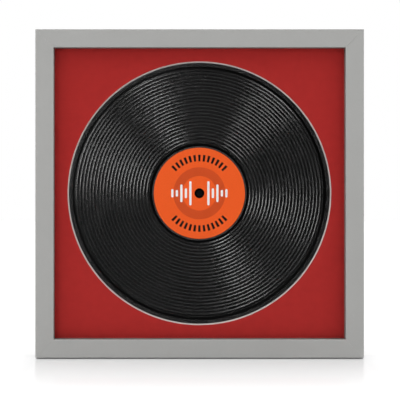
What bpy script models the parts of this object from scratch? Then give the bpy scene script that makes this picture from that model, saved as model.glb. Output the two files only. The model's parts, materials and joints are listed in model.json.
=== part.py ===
"""A square wall frame that shows one 12 inch vinyl record through a round mat.

The front faces -Y and +Z is up. The origin is the middle of the bottom rail's
underside, halfway through its depth. Every length is in metres. A depth is
measured back from the front face of the moulding.
"""

import math

import bmesh
import bpy
from mathutils import Matrix

# Gaps between pieces
SEAT_GAP = 0.0003
MITRE_GAP = 0.00005
CUT_OVERRUN = 0.002
WELD_DISTANCE = 0.000005

# Moulding: four mitred rails with a rebate behind the front lip
FACE_WIDTH = 0.021
LIP_WIDTH = 0.0055
LIP_THICKNESS = 0.0085
FRONT_ARRIS_RADIUS = 0.0009
BACK_CHAMFER = 0.0004
ARRIS_STEPS = 4

# Sheets in the rebate, front to back, and the mat's margin round the record
MAT_MARGIN = 0.0155
SHEET_PLAY = 0.001
GLAZING_THICKNESS = 0.002
MAT_THICKNESS = 0.0014
MAT_OVERLAP = 0.0004
MAT_BEVEL_ANGLE = math.radians(45)
CARRIER_PLAY = 0.0008
PAD_THICKNESS = 0.001
BOARD_THICKNESS = 0.003
BOARD_SINK = 0.0001
HOLE_SIDES = 96

# Record: a turned disc with a raised rim, ridged playing field and label seat
RECORD_RADIUS = 0.151
RECORD_THICKNESS = 0.0022
RECORD_SPINDLE_RADIUS = 0.00365
RECORD_EDGE_ROUND = 0.0006
RIM_WIDTH = 0.0047
CHANNEL_WIDTH = 0.00315
CHANNEL_DEPTH = 0.0006
CHANNEL_SLOPE = 0.0003
RIDGE_COUNT = 22
RIDGE_DROP = 0.0001
RIDGE_HEIGHT = 0.00045
RECORD_STEPS = 60

# Paper label, one on each side of the record
LABEL_RADIUS = 0.0526
LABEL_HOLE_RADIUS = 0.00575
LABEL_THICKNESS = 0.0002
LABEL_SEAT_DEPTH = 0.0004
LABEL_GAP = 0.0001
LABEL_BORDER_WIDTH = 0.0018
LABEL_STEPS = 48

# Steel wedge that pins each mitre from behind
WEDGE_LEG = 0.005
WEDGE_THICKNESS = 0.0005
WEDGE_HEIGHT = 0.010
WEDGE_HALF_ANGLE = math.radians(35)
WEDGE_SLOT_PLAY = 0.00015
WEDGE_PLACE_SHARES = (0.45, 0.85)

# Pan head wood screw
SCREW_RADIUS = 0.0015
SCREW_LENGTH = 0.010
SCREW_POINT = 0.003
SCREW_HEAD_RADIUS = 0.003
SCREW_HEAD_HEIGHT = 0.0019
SCREW_PLAY = 0.0002
SCREW_STEPS = 12
# Radius and height of points down the pan head, as shares of its radius and height
PAN_HEAD_SHARES = ((0, 1), (0.6, 0.92), (0.9, 0.65), (1, 0.25), (0.95, 0))

# Turn button that holds the back board in
BUTTON_SPREAD = 0.105
BUTTON_BITE = 0.009
BUTTON_THICKNESS = 0.0012
BUTTON_PIVOT_END_RADIUS = 0.006
BUTTON_TIP_RADIUS = 0.004
BUTTON_HOLE_PLAY = 0.0003
BUTTON_ARC_STEPS = 9
# Each side seen from the front, and where its two buttons lie, going anticlockwise
BUTTON_PLACES = (
    ("bottom", ("left", "right")),
    ("left", ("upper", "lower")),
    ("top", ("right", "left")),
    ("right", ("lower", "upper")),
)

# Strap hanger: a strip folded double round the bar of the D ring that swings in it
HANGER_RISE = 0.0625
STRAP_WIDTH = 0.009
STRAP_THICKNESS = 0.0012
STRAP_REACH = 0.008
EYE_WALL = 0.001
EYE_PLAY = 0.0003
EYE_FOLD_ANGLE = math.radians(150)
RING_WIRE_RADIUS = 0.001
RING_HALF_WIDTH = 0.0085
RING_REACH = 0.015
RING_CORNER_RADIUS = 0.0025
RING_CORNER_STEPS = 3
RING_BOW_STEPS = 12
EYE_SIDES = 16

# Rubber bumper that keeps the frame off the wall
BUMPER_RADIUS = 0.0055
BUMPER_FACE_RADIUS = 0.0042
BUMPER_HEIGHT = 0.005
BUMPER_ROUND = 0.0006
BUMPER_INSET = 0.030
BUMPER_STEPS = 16

# Sizes that follow from those above
SIGHT_SIZE = 2 * (RECORD_RADIUS + MAT_MARGIN)
OUTER_SIZE = SIGHT_SIZE + 2 * FACE_WIDTH
HALF_OUTER = OUTER_SIZE / 2
LAND_WIDTH = FACE_WIDTH - LIP_WIDTH
SHEET_SIZE = SIGHT_SIZE + 2 * LIP_WIDTH - 2 * SHEET_PLAY
CARRIER_THICKNESS = RECORD_THICKNESS + SEAT_GAP
GLAZING_DEPTH = LIP_THICKNESS + SEAT_GAP
MAT_DEPTH = GLAZING_DEPTH + GLAZING_THICKNESS + SEAT_GAP
CARRIER_DEPTH = MAT_DEPTH + MAT_THICKNESS + SEAT_GAP
PAD_DEPTH = CARRIER_DEPTH + CARRIER_THICKNESS + SEAT_GAP
BOARD_DEPTH = PAD_DEPTH + PAD_THICKNESS + SEAT_GAP
MOULDING_DEPTH = BOARD_DEPTH + BOARD_THICKNESS + BOARD_SINK
BUTTON_REACH = LAND_WIDTH / 2 + SHEET_PLAY + BUTTON_BITE
PLATE_DEPTH = MOULDING_DEPTH + SEAT_GAP
EYE_BORE_RADIUS = RING_WIRE_RADIUS + EYE_PLAY
EYE_RADIUS = EYE_BORE_RADIUS + EYE_WALL

# Turns a shape drawn flat in its own XY plane to face the front or the back
FACE_FRONT = Matrix.Rotation(math.pi / 2, 4, "X")
FACE_BACK = Matrix.Rotation(-math.pi / 2, 4, "X")


def y_at(depth):
    """World Y of a depth behind the moulding's front face."""
    return depth - MOULDING_DEPTH / 2


def clear_scene():
    for old in list(bpy.data.objects):
        bpy.data.objects.remove(old, do_unlink=True)


def new_collection(name):
    collection = bpy.data.collections.new(name)
    bpy.context.scene.collection.children.link(collection)
    return collection


def surface(name, colour, roughness, metallic=0.0, alpha=1.0):
    """A plain Principled material of one colour."""
    made = bpy.data.materials.new(name)
    made.use_nodes = True
    shader = made.node_tree.nodes["Principled BSDF"]
    shader.inputs["Base Color"].default_value = (*colour, 1.0)
    shader.inputs["Roughness"].default_value = roughness
    shader.inputs["Metallic"].default_value = metallic
    shader.inputs["Alpha"].default_value = alpha
    return made


def place(name, mesh, material, collection, matrix):
    """Adds a mesh to the model as a named piece."""
    piece = bpy.data.objects.new(name, mesh)
    collection.objects.link(piece)
    piece.matrix_world = matrix
    if not mesh.materials:
        mesh.materials.append(material)
    return piece


def as_cutter(piece):
    piece.hide_render = True
    piece.display_type = "WIRE"
    return piece


def boolean(piece, operation, other):
    """Cuts or joins a piece with one object, or with a whole collection."""
    step = piece.modifiers.new(operation.lower(), "BOOLEAN")
    step.operation = operation
    step.solver = "EXACT"
    if isinstance(other, bpy.types.Collection):
        step.operand_type = "COLLECTION"
        step.collection = other
    else:
        step.object = other


def arc(centre_x, centre_y, radius, start, end, steps):
    """Points along an arc, both ends included."""
    angles = [start + (end - start) * i / steps for i in range(steps + 1)]
    return [(centre_x + radius * math.cos(a), centre_y + radius * math.sin(a)) for a in angles]


def circle(radius, sides):
    return arc(0, 0, radius, 0, 2 * math.pi, sides)[:-1]


def square(side):
    half = side / 2
    return [(-half, -half), (half, -half), (half, half), (-half, half)]


def plate_mesh(name, loops, thickness):
    """A flat plate from closed outlines: the first is its edge, any others its holes."""
    drawn = bpy.data.curves.new(name + "_outline", "CURVE")
    drawn.dimensions = "2D"
    drawn.fill_mode = "BOTH"
    drawn.extrude = thickness / 2
    for loop in loops:
        spline = drawn.splines.new("POLY")
        spline.points.add(len(loop) - 1)
        for point, (x, y) in zip(spline.points, loop):
            point.co = (x, y, 0, 1)
        spline.use_cyclic_u = True
    holder = bpy.data.objects.new(name + "_outline", drawn)
    bpy.context.scene.collection.objects.link(holder)
    graph = bpy.context.evaluated_depsgraph_get()
    mesh = bpy.data.meshes.new_from_object(holder.evaluated_get(graph))
    bpy.data.objects.remove(holder)
    mesh.name = name
    shape = bmesh.new()
    shape.from_mesh(mesh)
    bmesh.ops.remove_doubles(shape, verts=shape.verts, dist=WELD_DISTANCE)
    bmesh.ops.recalc_face_normals(shape, faces=shape.faces)
    shape.to_mesh(mesh)
    shape.free()
    return mesh


def block_mesh(name, width, height, thickness):
    """A box centred on its origin."""
    shape = bmesh.new()
    bmesh.ops.create_cube(shape, size=1)
    bmesh.ops.scale(shape, verts=shape.verts, vec=(width, height, thickness))
    mesh = bpy.data.meshes.new(name)
    shape.to_mesh(mesh)
    shape.free()
    return mesh


def cone_mesh(name, bottom_radius, top_radius, height, sides):
    """A cone or cylinder centred on its origin, along its own Z."""
    shape = bmesh.new()
    bmesh.ops.create_cone(
        shape,
        cap_ends=True,
        segments=sides,
        radius1=bottom_radius,
        radius2=top_radius,
        depth=height,
    )
    mesh = bpy.data.meshes.new(name)
    shape.to_mesh(mesh)
    shape.free()
    return mesh


def turned(name, profile, closed, steps, material, collection, matrix):
    """A solid turned round its own Z from (radius, height) points."""
    mesh = bpy.data.meshes.new(name)
    count = len(profile)
    edges = [(i, (i + 1) % count) for i in range(count if closed else count - 1)]
    mesh.from_pydata([(radius, 0, height) for radius, height in profile], edges, [])
    piece = place(name, mesh, material, collection, matrix)
    turn = piece.modifiers.new("turn", "SCREW")
    turn.axis = "Z"
    turn.steps = steps
    turn.render_steps = steps
    turn.use_merge_vertices = True
    turn.merge_threshold = WELD_DISTANCE
    turn.use_smooth_shade = True
    return piece


def rail_outline():
    """The moulding's section: inset from the outer edge, then depth from the front."""
    round_front = FRONT_ARRIS_RADIUS
    chamfer = BACK_CHAMFER
    outer_arris = arc(round_front, round_front, round_front, math.pi, 1.5 * math.pi, ARRIS_STEPS)
    inner_arris = arc(
        FACE_WIDTH - round_front,
        round_front,
        round_front,
        1.5 * math.pi,
        2 * math.pi,
        ARRIS_STEPS,
    )
    behind = [
        (FACE_WIDTH, LIP_THICKNESS),
        (LAND_WIDTH, LIP_THICKNESS),
        (LAND_WIDTH, MOULDING_DEPTH),
        (chamfer, MOULDING_DEPTH),
        (0, MOULDING_DEPTH - chamfer),
    ]
    return outer_arris + inner_arris + behind


def make_rails(material, collection, cutters):
    """Four equal rails. Each end is mitred by pulling a point in as far as it is inset."""
    mesh = plate_mesh("rail", [rail_outline()], OUTER_SIZE)
    for vertex in mesh.vertices:
        end = HALF_OUTER - vertex.co.x - MITRE_GAP
        vertex.co.z = math.copysign(end, vertex.co.z)
    mesh.materials.append(material)
    # Lays the bottom rail down: its inset points up and its depth points back.
    lay_down = Matrix(
        ((0, 0, -1, 0), (0, 1, 0, -MOULDING_DEPTH / 2), (1, 0, 0, -HALF_OUTER), (0, 0, 0, 1))
    )
    centre = Matrix.Translation((0, 0, HALF_OUTER))
    for quarter, side in enumerate(("bottom", "left", "top", "right")):
        turn = Matrix.Rotation(quarter * math.pi / 2, 4, "Y")
        rail = place(f"{side}_rail", mesh, material, collection, centre @ turn @ lay_down)
        boolean(rail, "DIFFERENCE", cutters)


def chevron(leg, thickness, half_angle):
    """A V of sheet metal with its point at the origin, opening towards +Y."""
    across, along = math.sin(half_angle), math.cos(half_angle)
    tip = (leg * across, leg * along)
    inside = (tip[0] - thickness * along, tip[1] + thickness * across)
    return [
        (0, 0),
        tip,
        inside,
        (0, thickness / across),
        (-inside[0], inside[1]),
        (-tip[0], tip[1]),
    ]


def make_wedges(material, collection, cutters):
    """Two V wedges in each mitre, and the slots they sit in."""
    wedge = plate_mesh(
        "mitre_wedge", [chevron(WEDGE_LEG, WEDGE_THICKNESS, WEDGE_HALF_ANGLE)], WEDGE_HEIGHT
    )
    slot_height = WEDGE_HEIGHT + SEAT_GAP + CUT_OVERRUN
    slot_width = WEDGE_THICKNESS + 2 * WEDGE_SLOT_PLAY
    slot_leg = WEDGE_LEG + 2 * WEDGE_SLOT_PLAY / math.tan(WEDGE_HALF_ANGLE)
    slot = plate_mesh("wedge_slot", [chevron(slot_leg, slot_width, WEDGE_HALF_ANGLE)], slot_height)
    back_off = WEDGE_SLOT_PLAY / math.sin(WEDGE_HALF_ANGLE)
    wedge_middle = MOULDING_DEPTH - SEAT_GAP - WEDGE_HEIGHT / 2
    slot_middle = MOULDING_DEPTH + CUT_OVERRUN - slot_height / 2
    for corner, corner_name in enumerate(("top_right", "bottom_right", "bottom_left", "top_left")):
        turn = Matrix.Rotation((corner + 0.5) * math.pi / 2, 4, "Y")
        for row, share in enumerate(WEDGE_PLACE_SHARES):
            apex = (HALF_OUTER - share * LAND_WIDTH) * math.sqrt(2)
            centre = Matrix.Translation((0, 0, HALF_OUTER)) @ turn
            at = centre @ Matrix.Translation((0, y_at(wedge_middle), apex)) @ FACE_FRONT
            name = f"mitre_wedge_{corner_name}_{row + 1}"
            place(name, wedge, material, collection, at)
            at = centre @ Matrix.Translation((0, y_at(slot_middle), apex - back_off)) @ FACE_FRONT
            as_cutter(place("slot_" + name, slot, material, cutters, at))


def sheet_at(depth, thickness):
    """Where a sheet's middle lies when its front is at that depth."""
    return Matrix.Translation((0, y_at(depth + thickness / 2), HALF_OUTER)) @ FACE_FRONT


def make_whole_sheet(name, depth, thickness, material, collection):
    """A sheet without a hole: the glazing, the backing card or the back board."""
    mesh = block_mesh(name, SHEET_SIZE, SHEET_SIZE, thickness)
    return place(name, mesh, material, collection, sheet_at(depth, thickness))


def make_mat(material, collection, helpers):
    """The mat. A cone cuts its window, so that the edge shows as a white bevel."""
    mat = make_whole_sheet("mat_board", MAT_DEPTH, MAT_THICKNESS, material, collection)
    slope = math.tan(MAT_BEVEL_ANGLE)
    middle_radius = RECORD_RADIUS - MAT_OVERLAP + slope * MAT_THICKNESS / 2
    height = MAT_THICKNESS + 2 * CUT_OVERRUN
    spread = slope * height / 2
    cone = cone_mesh(
        "mat_window", middle_radius - spread, middle_radius + spread, height, HOLE_SIDES
    )
    window = place("mat_window", cone, material, helpers, mat.matrix_world)
    boolean(mat, "DIFFERENCE", as_cutter(window))


def make_carrier(material, collection):
    """The board behind the mat, with a round well that keeps the record centred."""
    well = circle(RECORD_RADIUS + CARRIER_PLAY, HOLE_SIDES)
    carrier = plate_mesh("record_carrier", [square(SHEET_SIZE), well], CARRIER_THICKNESS)
    at = sheet_at(CARRIER_DEPTH, CARRIER_THICKNESS)
    place("record_carrier", carrier, material, collection, at)


def record_profile():
    """Half of the record's section: out along the front, round the rim and back."""
    front = RECORD_THICKNESS / 2
    seat = front - LABEL_SEAT_DEPTH
    channel = front - CHANNEL_DEPTH
    crest = front - RIDGE_DROP
    trough = crest - RIDGE_HEIGHT
    border_in = LABEL_RADIUS + LABEL_GAP
    border_out = border_in + LABEL_BORDER_WIDTH
    rim_in = RECORD_RADIUS - RIM_WIDTH
    field_in = border_out + CHANNEL_WIDTH
    field_out = rim_in - CHANNEL_WIDTH
    pitch = (field_out - field_in) / RIDGE_COUNT
    label_side = [(RECORD_SPINDLE_RADIUS, seat), (border_in, seat), (border_in, crest)]
    inner_channel = [
        (border_out, crest),
        (border_out + CHANNEL_SLOPE, channel),
        (field_in - CHANNEL_SLOPE, channel),
    ]
    ridges = []
    for number in range(RIDGE_COUNT):
        start = field_in + number * pitch
        ridges += [(start, trough), (start + pitch / 2, crest)]
    outer_channel = [
        (field_out, trough),
        (field_out + CHANNEL_SLOPE, channel),
        (rim_in - CHANNEL_SLOPE, channel),
    ]
    rounded = RECORD_EDGE_ROUND
    rim = [
        (rim_in, front),
        (RECORD_RADIUS - rounded, front),
        (RECORD_RADIUS, front - rounded),
        (RECORD_RADIUS, rounded - front),
        (RECORD_RADIUS - rounded, -front),
        (rim_in, -front),
        (rim_in - CHANNEL_SLOPE, -crest),
    ]
    back = [(border_in, -crest), (border_in, -seat), (RECORD_SPINDLE_RADIUS, -seat)]
    return label_side + inner_channel + ridges + outer_channel + rim + back


def make_record(vinyl, paper, collection):
    """The disc, and its two paper labels in their seats."""
    at = sheet_at(CARRIER_DEPTH, RECORD_THICKNESS)
    turned("record_disc", record_profile(), True, RECORD_STEPS, vinyl, collection, at)
    low = RECORD_THICKNESS / 2 - LABEL_SEAT_DEPTH + LABEL_GAP
    high = low + LABEL_THICKNESS
    section = [
        (LABEL_HOLE_RADIUS, high),
        (LABEL_RADIUS, high),
        (LABEL_RADIUS, low),
        (LABEL_HOLE_RADIUS, low),
    ]
    turned("label_front", section, True, LABEL_STEPS, paper, collection, at)
    turn_over = at @ Matrix.Rotation(math.pi, 4, "X")
    turned("label_back", section, True, LABEL_STEPS, paper, collection, turn_over)


def screw_profile():
    """Down the outside of a pan head screw, from the top of its head to its point."""
    head = [(SCREW_HEAD_RADIUS * out, SCREW_HEAD_HEIGHT * up) for out, up in PAN_HEAD_SHARES]
    shank = [
        (SCREW_RADIUS, 0),
        (SCREW_RADIUS, SCREW_POINT - SCREW_LENGTH),
        (0, -SCREW_LENGTH),
    ]
    return head + shank


def make_screw(name, x, z, plate_thickness, material, collection, cutters):
    """A screw through a plate on the back, and the hole it needs in the rail."""
    under_head = PLATE_DEPTH + plate_thickness + SEAT_GAP
    at = Matrix.Translation((x, y_at(under_head), z)) @ FACE_BACK
    turned(name, screw_profile(), False, SCREW_STEPS, material, collection, at)
    bottom = under_head - SCREW_LENGTH - SEAT_GAP
    top = MOULDING_DEPTH + CUT_OVERRUN
    radius = SCREW_RADIUS + SCREW_PLAY
    pilot = cone_mesh("pilot_" + name, radius, radius, top - bottom, SCREW_STEPS)
    at = Matrix.Translation((x, y_at((bottom + top) / 2), z)) @ FACE_BACK
    as_cutter(place("pilot_" + name, pilot, material, cutters, at))


def button_outline():
    """Two round ends of unlike radius joined by the straight lines that touch both."""
    large, small = BUTTON_PIVOT_END_RADIUS, BUTTON_TIP_RADIUS
    tip_centre = BUTTON_REACH - small
    lean = math.acos((large - small) / tip_centre)
    pivot_end = arc(0, 0, large, lean, 2 * math.pi - lean, BUTTON_ARC_STEPS)
    tip_end = arc(tip_centre, 0, small, -lean, lean, BUTTON_ARC_STEPS)
    return pivot_end + tip_end


def make_turn_buttons(material, collection, cutters):
    """Two turn buttons on each rail, pointing inwards over the back board."""
    hole = circle(SCREW_RADIUS + BUTTON_HOLE_PLAY, SCREW_STEPS)
    mesh = plate_mesh("turn_button", [button_outline(), hole], BUTTON_THICKNESS)
    from_centre = HALF_OUTER - LAND_WIDTH / 2
    depth = PLATE_DEPTH + BUTTON_THICKNESS / 2
    for quarter, (side, places) in enumerate(BUTTON_PLACES):
        turn = Matrix.Rotation(quarter * math.pi / 2, 4, "Y")
        for where, along in zip(places, (-BUTTON_SPREAD, BUTTON_SPREAD)):
            pivot = Matrix.Translation((0, 0, HALF_OUTER)) @ turn
            pivot = pivot @ Matrix.Translation((along, y_at(depth), -from_centre))
            point_in = Matrix.Rotation(-math.pi / 2, 4, "Y")
            name = f"turn_button_{side}_{where}"
            place(name, mesh, material, collection, pivot @ point_in @ FACE_FRONT)
            x, _, z = pivot.translation
            screw_name = f"turn_button_screw_{side}_{where}"
            make_screw(screw_name, x, z, BUTTON_THICKNESS, material, collection, cutters)


def strap_side():
    """The folded strip from the side: flat, round the ring's bar and down onto itself."""
    fold = arc(STRAP_REACH, EYE_RADIUS, EYE_RADIUS, -math.pi / 2, EYE_FOLD_ANGLE, EYE_SIDES)
    leave_x, leave_y = fold[-1]
    slope = math.tan(EYE_FOLD_ANGLE + math.pi / 2)
    meet_x = leave_x - (leave_y - STRAP_THICKNESS) / slope
    end = -STRAP_WIDTH / 2 - CUT_OVERRUN
    return fold + [(meet_x, STRAP_THICKNESS), (end, STRAP_THICKNESS), (end, 0)]


def strap_plan():
    """The strip from above: a round end about its screw, then straight past the fold."""
    half = STRAP_WIDTH / 2
    end = STRAP_REACH + EYE_RADIUS + CUT_OVERRUN
    return arc(0, 0, half, math.pi / 2, 1.5 * math.pi, EYE_SIDES // 2) + [(end, -half), (end, half)]


def ring_points():
    """The D ring's centreline: a straight bar on the hinge line, two corners and a bow."""
    half, corner = RING_HALF_WIDTH, RING_CORNER_RADIUS
    bow_centre = RING_REACH - half
    upper = arc(corner, half - corner, corner, math.pi, math.pi / 2, RING_CORNER_STEPS)
    bow = arc(bow_centre, 0, half, math.pi / 2, -math.pi / 2, RING_BOW_STEPS)
    lower = arc(corner, corner - half, corner, 1.5 * math.pi, math.pi, RING_CORNER_STEPS)
    return upper + bow + lower


def make_strap(side, strap_at, material, collection, helpers):
    """The strip seen from the side, with the ring's bore, kept where its plan covers it."""
    bore = arc(STRAP_REACH, EYE_RADIUS, EYE_BORE_RADIUS, 0, 2 * math.pi, EYE_SIDES)[:-1]
    folded = plate_mesh("hanger_strap", [strap_side(), bore], STRAP_WIDTH + 2 * CUT_OVERRUN)
    strap = place(f"hanger_strap_{side}", folded, material, collection, strap_at)
    hole = circle(SCREW_RADIUS + SCREW_PLAY, SCREW_STEPS)
    plan = plate_mesh("hanger_plan", [strap_plan(), hole], 2 * EYE_RADIUS + 2 * CUT_OVERRUN)
    plan_at = strap_at @ Matrix.Translation((0, EYE_RADIUS, 0)) @ FACE_FRONT
    cutter = as_cutter(place(f"hanger_plan_{side}", plan, material, helpers, plan_at))
    boolean(strap, "INTERSECT", cutter)


def make_ring(side, hinge_at, material, collection):
    wire = bpy.data.curves.new(f"hanger_ring_{side}", "CURVE")
    wire.dimensions = "3D"
    wire.bevel_depth = RING_WIRE_RADIUS
    wire.bevel_resolution = 2
    path = wire.splines.new("POLY")
    points = ring_points()
    path.points.add(len(points) - 1)
    for point, (x, y) in zip(path.points, points):
        point.co = (x, y, 0, 1)
    path.use_cyclic_u = True
    wire.materials.append(material)
    ring = bpy.data.objects.new(f"hanger_ring_{side}", wire)
    collection.objects.link(ring)
    ring.matrix_world = hinge_at @ FACE_FRONT


def make_hanger(side, inwards, material, collection, helpers, cutters):
    """A strap hanger on a side rail. inwards is 1 where that is +X, and -1 where it is -X."""
    turn = Matrix.Rotation(0 if inwards > 0 else math.pi, 4, "Y")
    screw_x = inwards * (LAND_WIDTH / 2 - HALF_OUTER)
    z = HALF_OUTER + HANGER_RISE
    strap_at = Matrix.Translation((screw_x, y_at(PLATE_DEPTH), z)) @ turn
    make_strap(side, strap_at, material, collection, helpers)
    make_screw(f"hanger_screw_{side}", screw_x, z, STRAP_THICKNESS, material, collection, cutters)
    hinge_at = strap_at @ Matrix.Translation((STRAP_REACH, EYE_RADIUS, 0))
    make_ring(side, hinge_at, material, collection)


def make_bumpers(material, collection):
    profile = [
        (0, BUMPER_HEIGHT),
        (BUMPER_FACE_RADIUS, BUMPER_HEIGHT),
        (BUMPER_FACE_RADIUS + BUMPER_ROUND, BUMPER_HEIGHT - BUMPER_ROUND),
        (BUMPER_RADIUS, 0),
        (0, 0),
    ]
    for side, sign in (("left", -1), ("right", 1)):
        x = sign * (HALF_OUTER - BUMPER_INSET)
        at = Matrix.Translation((x, y_at(PLATE_DEPTH), LAND_WIDTH / 2)) @ FACE_BACK
        turned(f"wall_bumper_{side}", profile, False, BUMPER_STEPS, material, collection, at)


def main():
    clear_scene()
    model = new_collection("vinyl_record_frame")
    cutters = new_collection("rail_cutters")
    helpers = new_collection("other_cutters")
    foil = surface("grey_foil", (0.42, 0.42, 0.41), 0.5)
    clear = surface("clear_sheet", (0.9, 0.92, 0.92), 0.05, alpha=0.12)
    red_mat = surface("mat_board", (0.36, 0.023, 0.021), 0.85)
    grey_board = surface("grey_board", (0.32, 0.29, 0.25), 0.9)
    black_card = surface("backing_card", (0.02, 0.02, 0.02), 0.9)
    fibreboard = surface("fibreboard", (0.32, 0.2, 0.11), 0.8)
    vinyl = surface("black_vinyl", (0.012, 0.012, 0.012), 0.28)
    paper = surface("label_paper", (0.84, 0.12, 0.021), 0.6)
    steel = surface("zinc_steel", (0.6, 0.6, 0.58), 0.35, metallic=1.0)
    rubber = surface("bumper_rubber", (0.03, 0.03, 0.03), 0.7)

    make_wedges(steel, model, cutters)
    make_turn_buttons(steel, model, cutters)
    make_hanger("left", 1, steel, model, helpers, cutters)
    make_hanger("right", -1, steel, model, helpers, cutters)
    make_rails(foil, model, cutters)
    make_whole_sheet("glazing_sheet", GLAZING_DEPTH, GLAZING_THICKNESS, clear, model)
    make_mat(red_mat, model, helpers)
    make_carrier(grey_board, model)
    make_record(vinyl, paper, model)
    make_whole_sheet("backing_card", PAD_DEPTH, PAD_THICKNESS, black_card, model)
    make_whole_sheet("back_board", BOARD_DEPTH, BOARD_THICKNESS, fibreboard, model)
    make_bumpers(rubber, model)


main()
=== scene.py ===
# %% [markdown]
# # A 12 inch record in a wall frame
# This script gives the looks to a frame whose construction is already settled. The rails,
# sheets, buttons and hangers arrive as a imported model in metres, with the front facing -Y and
# the middle of the bottom edge at the origin. Nothing of it is moved here. Where a piece needs
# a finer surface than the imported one, a new mesh takes its place.

import json
import math

import bmesh
import bpy
from mathutils import Matrix, Vector


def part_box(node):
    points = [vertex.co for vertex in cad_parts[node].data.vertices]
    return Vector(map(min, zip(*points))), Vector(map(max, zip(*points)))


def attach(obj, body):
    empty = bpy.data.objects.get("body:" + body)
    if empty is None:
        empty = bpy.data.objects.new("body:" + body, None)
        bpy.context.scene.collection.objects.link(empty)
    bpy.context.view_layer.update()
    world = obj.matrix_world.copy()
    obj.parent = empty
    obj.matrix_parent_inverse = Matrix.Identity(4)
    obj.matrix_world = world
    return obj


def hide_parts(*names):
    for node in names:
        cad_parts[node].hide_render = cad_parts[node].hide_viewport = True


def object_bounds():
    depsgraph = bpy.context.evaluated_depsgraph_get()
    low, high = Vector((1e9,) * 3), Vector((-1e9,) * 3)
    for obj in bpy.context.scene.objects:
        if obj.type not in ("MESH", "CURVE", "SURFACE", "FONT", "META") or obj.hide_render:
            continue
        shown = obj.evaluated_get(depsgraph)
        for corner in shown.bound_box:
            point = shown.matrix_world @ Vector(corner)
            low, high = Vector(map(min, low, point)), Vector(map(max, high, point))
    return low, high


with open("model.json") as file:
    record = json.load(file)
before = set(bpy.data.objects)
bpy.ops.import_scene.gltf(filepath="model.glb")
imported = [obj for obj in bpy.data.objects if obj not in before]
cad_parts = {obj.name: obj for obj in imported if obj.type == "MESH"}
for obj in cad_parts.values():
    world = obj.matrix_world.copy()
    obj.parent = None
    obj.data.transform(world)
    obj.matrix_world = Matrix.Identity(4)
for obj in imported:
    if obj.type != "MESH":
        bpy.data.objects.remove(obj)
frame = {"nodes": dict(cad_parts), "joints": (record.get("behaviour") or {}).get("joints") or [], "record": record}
packed_box = [list(corner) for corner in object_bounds()]
print("Pieces in the packed model:", len(frame["nodes"]))

# %% [markdown]
# ## Sizes read from the model
# Real objects are measured before they are copied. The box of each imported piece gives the
# places that the finer meshes must keep, so a change of size in the model carries over here.

# %% Measure what the finer pieces must fit
MM = 0.001


def span(node):
    """Lowest corner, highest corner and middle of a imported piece."""
    low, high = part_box(node)
    return low, high, (low + high) / 2


whole_low, whole_high = (Vector(corner) for corner in packed_box)
centre_x = (whole_low.x + whole_high.x) / 2
centre_z = (whole_low.z + whole_high.z) / 2
face_y = span("bottom_rail")[0].y
back_y = span("bottom_rail")[1].y
disc_low, disc_high, disc_middle = span("record_disc")
record_radius = (disc_high.x - disc_low.x) / 2
half_outer = (whole_high.x - whole_low.x) / 2
half_sight = centre_z - span("bottom_rail")[1].z
print(f"Outer size {2 * half_outer / MM:.1f} mm, record {2 * record_radius / MM:.1f} mm across")

# %% [markdown]
# ## Small tools
# Every material below is a graph of nodes. One function adds a node, sets its properties and
# fills its inputs, with plain values or with links from other nodes. A link comes from a node's
# first output unless another is named. Colours are written as sRGB hex, as a maker's swatch
# gives them, and turned to linear light once.

# %% Colour from a swatch
def swatch(code):
    """Linear RGBA of an sRGB hex colour."""
    parts = [int(code[i:i + 2], 16) / 255 for i in (0, 2, 4)]
    linear = [c / 12.92 if c <= 0.04045 else ((c + 0.055) / 1.055) ** 2.4 for c in parts]
    return (*linear, 1.0)


# %% Add one node with its settings and links
def fill(tree, made, inputs):
    """Gives each named or numbered input a plain value or a link."""
    for key, value in inputs.items():
        if isinstance(value, bpy.types.Node):
            value = value.outputs[0]
        if isinstance(value, bpy.types.NodeSocket):
            tree.links.new(value, made.inputs[key])
        else:
            made.inputs[key].default_value = value


def node(tree, kind, *inputs, **settings):
    """A node of a kind such as Mix or Math.ADD. Its inputs come in order or as one dict."""
    kind, _, operation = kind.partition(".")
    made = tree.nodes.new("ShaderNode" + kind)
    if operation:
        made.operation = operation
    for name, value in settings.items():
        setattr(made, name, value)
    in_dict = len(inputs) == 1 and isinstance(inputs[0], dict)
    fill(tree, made, inputs[0] if in_dict else dict(enumerate(inputs)))
    return made


# %% Start a material
def new_material(name, **inputs):
    """A Principled material, its graph and its shader."""
    material = bpy.data.materials.new(name)
    material.use_nodes = True
    tree = material.node_tree
    shader = tree.nodes["Principled BSDF"]
    for key, value in inputs.items():
        shader.inputs[key.replace("_", " ")].default_value = value
    return material, tree, shader


# %% [markdown]
# ## Grain in millimetres
# A noise pattern has a scale in cycles per metre here, since the pieces are in metres. Working
# it out from a real size keeps each finish true at any distance. The stretch gives a grain that
# is longer along one axis, as fibres and brushing are.

# %% Noise of a real size
def grain(tree, size, stretch=(1, 1, 1), detail=3.0, roughness=0.55):
    """Noise whose features are about that many metres wide."""
    place = node(tree, "TexCoord").outputs["Object"]
    scaled = node(tree, "Mapping", {"Vector": place, "Scale": [1 / s for s in stretch]})
    look = {"Scale": 1 / size, "Detail": detail, "Roughness": roughness}
    return node(tree, "TexNoise", {"Vector": scaled, **look}).outputs["Fac"]


def layered(tree, colour, *coats):
    """A colour under coats of others. A (where, colour) coat covers it where that is 1."""
    for where, coat in coats:
        # Inputs 6 and 7 of this node are its two colours, and output 2 is their mix.
        mix = node(tree, "Mix", {0: where, 6: colour, 7: coat}, data_type="RGBA")
        colour = mix.outputs[2]
    return colour


# Noise keeps mostly to the middle of 0 to 1, so its contrast is widened between such limits.
GRAIN_SPAN = (0.3, 0.7)
MOTTLE_SPAN = (0.35, 0.65)


def own_axes(tree):
    """X, Y and Z of a point, measured from its own piece's origin."""
    place = node(tree, "TexCoord").outputs["Object"]
    return node(tree, "SeparateXYZ", place).outputs


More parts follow.
